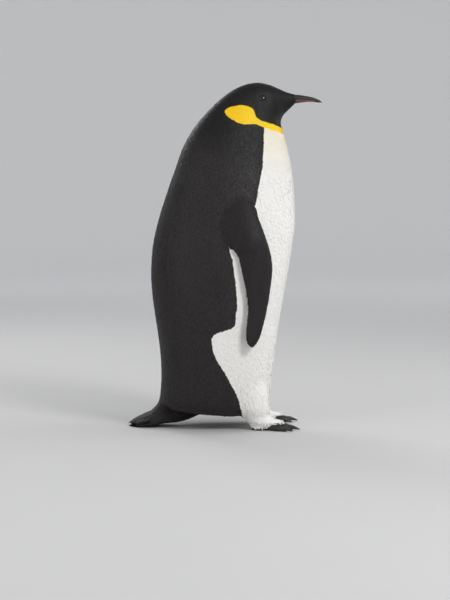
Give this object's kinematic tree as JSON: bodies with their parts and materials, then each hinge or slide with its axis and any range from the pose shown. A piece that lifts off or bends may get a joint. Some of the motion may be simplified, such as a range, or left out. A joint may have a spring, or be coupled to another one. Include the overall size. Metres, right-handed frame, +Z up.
{
  "type": "emperor penguin standing model",
  "caption": "Life-size emperor penguin standing upright on its feet and tail, neck drawn in, bill forward and flippers hanging at its sides.",
  "frame": {"origin": "On the floor, under the middle of the bird's bounding box, between the bill's tip and the tail's tip and midway between its sides.", "axes": "+X is ahead of the bird, the way the bill points; +Y is the bird's left; +Z is up."},
  "size_m": [0.62, 0.3938, 1.0999],
  "materials": {
    "plumage_dark": "short dense overlapping feathers, near black with a slate bloom",
    "plumage_white": "short dense overlapping feathers, satin white",
    "bill_horn": "smooth black horn",
    "bill_plate": "smooth muted lilac pink horn plate",
    "foot_skin": "scaled black skin",
    "claw_horn": "ridged dark horn",
    "eye": "wet dark brown eye"
  },
  "bodies": {
    "root": {"trunk": "plumage_dark", "neck": "plumage_dark", "head": "plumage_dark", "flipper_left": "plumage_dark", "flipper_right": "plumage_dark", "tail": "plumage_dark", "leg_left": "plumage_white", "leg_right": "plumage_white", "bill_upper": "bill_horn", "bill_lower": "bill_plate", "eye_left": "eye", "eye_right": "eye", "foot_left": "foot_skin", "foot_right": "foot_skin", "claw_left_inner": "claw_horn", "claw_left_middle": "claw_horn", "claw_left_outer": "claw_horn", "claw_right_inner": "claw_horn", "claw_right_middle": "claw_horn", "claw_right_outer": "claw_horn"}
  },
  "joints": []
}
